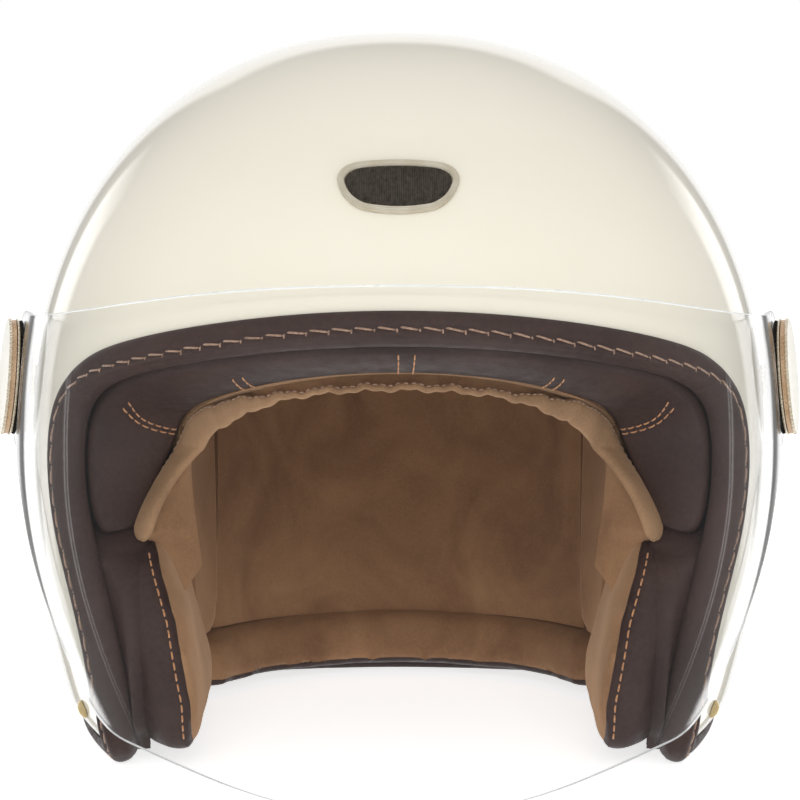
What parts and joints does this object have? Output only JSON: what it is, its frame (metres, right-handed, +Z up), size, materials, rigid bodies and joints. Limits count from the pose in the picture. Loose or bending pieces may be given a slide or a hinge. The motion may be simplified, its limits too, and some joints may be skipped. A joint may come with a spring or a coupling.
{
  "type": "open face motorcycle helmet",
  "caption": "Open-face motorcycle helmet with a glossy cream shell, dark leather edge trim, tan suede lining and a clear bubble visor on side knobs.",
  "frame": {"origin": "middle of the helmet's box, on the surface it stands on", "axes": "+Z up, the face opening looks along -Y, +X is the wearer's left"},
  "size_m": [0.282, 0.3001, 0.2425],
  "materials": {
    "shell_paint": "glossy cream lacquer over the moulded shell",
    "leather": "dark brown leather, semi-matt, fine grain",
    "suede": "tan brown suede, brushed",
    "foam": "expanded bead foam",
    "visor_clear": "clear polished polycarbonate",
    "knob_metal": "champagne gold, satin",
    "knob_rubber": "black fluted rubber",
    "nylon": "black nylon",
    "steel": "zinc-plated steel",
    "badge_metal": "polished champagne metal",
    "badge_face": "dark ribbed enamel",
    "rivet_brass": "polished brass",
    "webbing": "black nylon webbing"
  },
  "bodies": {
    "helmet": {"outer_shell": "shell_paint", "edge_trim": "leather", "foam_liner": "foam", "brow_panel": "leather", "crown_liner": "suede", "front_binding": "suede", "neck_roll": "suede", "badge_bezel": "badge_metal", "badge_plate": "badge_face", "side_liner_left": "suede", "cheek_pad_left": "leather", "pivot_spacer_left": "nylon", "pivot_screw_left": "steel", "pivot_nut_left": "steel", "strap_rivet_left": "rivet_brass", "pad_snap_front_left": "nylon", "pad_snap_rear_left": "nylon", "side_liner_right": "suede", "cheek_pad_right": "leather", "pivot_spacer_right": "nylon", "pivot_screw_right": "steel", "pivot_nut_right": "steel", "strap_rivet_right": "rivet_brass", "pad_snap_front_right": "nylon", "pad_snap_rear_right": "nylon"},
    "visor": {"visor": "visor_clear", "knob_washer_left": "knob_metal", "knob_gasket_left": "knob_rubber", "knob_washer_right": "knob_metal", "knob_gasket_right": "knob_rubber"},
    "knob_left": {"knob_ring_left": "knob_metal", "knob_cap_left": "knob_metal"},
    "knob_right": {"knob_ring_right": "knob_metal", "knob_cap_right": "knob_metal"},
    "strap_left": {"strap_anchor_left": "steel", "strap_left": "webbing"},
    "strap_right": {"strap_anchor_right": "steel", "strap_right": "webbing"},
    "ring_inner": {"d_ring_inner": "steel"},
    "ring_outer": {"d_ring_outer": "steel"}
  },
  "joints": [
    {"name": "visor_lift", "type": "hinge", "parent": "helmet", "child": "visor", "pos_m": [0, -0.005, 0.123], "axis": [-1, 0, 0], "range_deg": [0, 65]},
    {"name": "knob_left_turn", "type": "hinge", "parent": "visor", "child": "knob_left", "pos_m": [0.1292, -0.005, 0.123], "axis": [0.9744, -0.2071, 0.0872], "range_deg": [0, 90]},
    {"name": "knob_right_turn", "type": "hinge", "parent": "visor", "child": "knob_right", "pos_m": [-0.1292, -0.005, 0.123], "axis": [-0.9744, -0.2071, 0.0872], "range_deg": [0, 90]},
    {"name": "strap_left_swing", "type": "hinge", "parent": "helmet", "child": "strap_left", "pos_m": [0.088, -0.056, 0.017], "axis": [-1, 0, 0], "range_deg": [0, 80]},
    {"name": "strap_right_swing", "type": "hinge", "parent": "helmet", "child": "strap_right", "pos_m": [-0.088, -0.056, 0.017], "axis": [-1, 0, 0], "range_deg": [0, 80]},
    {"name": "ring_inner_swing", "type": "hinge", "parent": "strap_left", "child": "ring_inner", "pos_m": [0.0878, 0.026, 0.017], "axis": [0, 0, 1], "range_deg": [0, 60]},
    {"name": "ring_outer_swing", "type": "hinge", "parent": "strap_left", "child": "ring_outer", "pos_m": [0.0906, 0.026, 0.017], "axis": [0, 0, -1], "range_deg": [0, 10]}
  ]
}
